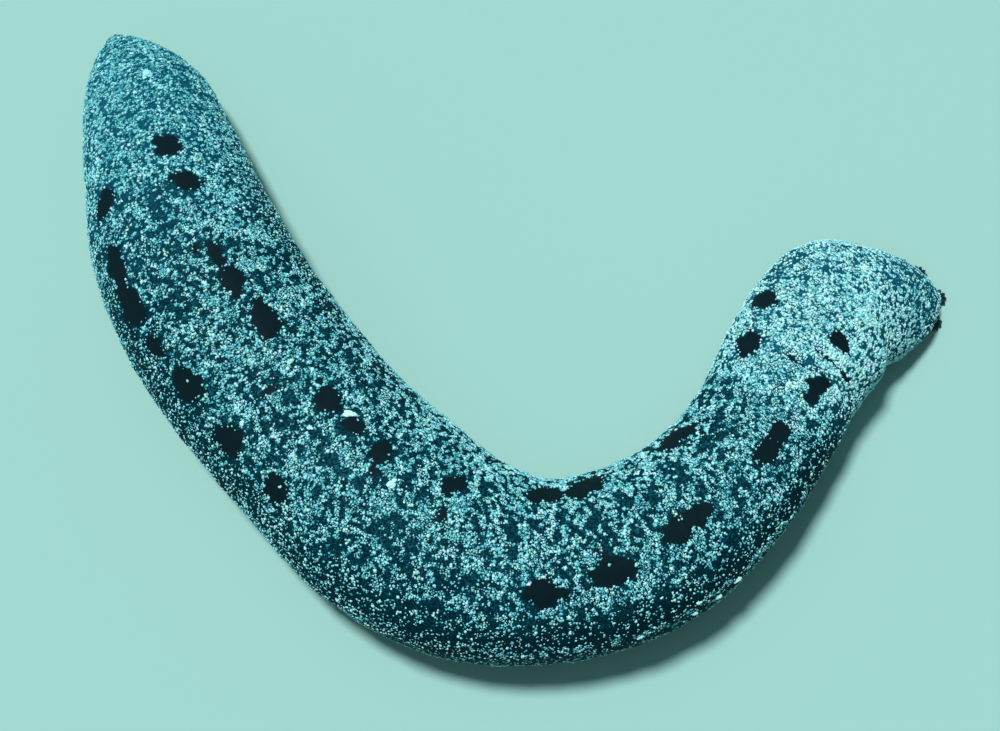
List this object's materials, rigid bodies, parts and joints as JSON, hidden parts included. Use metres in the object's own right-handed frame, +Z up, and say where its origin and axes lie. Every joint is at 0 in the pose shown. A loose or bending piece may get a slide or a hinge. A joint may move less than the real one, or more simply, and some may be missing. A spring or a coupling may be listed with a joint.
{
  "type": "black sea cucumber",
  "caption": "Still life-size sea cucumber resting in a wide bend: a tapered tail, a thick rounded trunk on tube feet, and a flared hood over the mouth's tentacles.",
  "frame": {"origin": "on the floor, under the middle of the whole outline seen from above", "axes": "+Z up from the floor; +X across the bend from the tail's arm to the head's arm; +Y from the outside of the bend towards its open side"},
  "size_m": [0.2255, 0.1698, 0.0393],
  "materials": {
    "skin": "moist black skin with small bare spots",
    "sand": "fine pale coral sand held on the skin",
    "mouth": "smooth black soft flesh"
  },
  "bodies": {
    "root": {"tail_end": "skin", "trunk_6": "skin", "trunk_5": "skin", "trunk_4": "skin", "trunk_3": "skin", "trunk_2": "skin", "trunk_1": "skin", "neck": "skin", "head_hood": "skin", "mouth_crown": "mouth", "vent_rim": "mouth"}
  },
  "joints": []
}
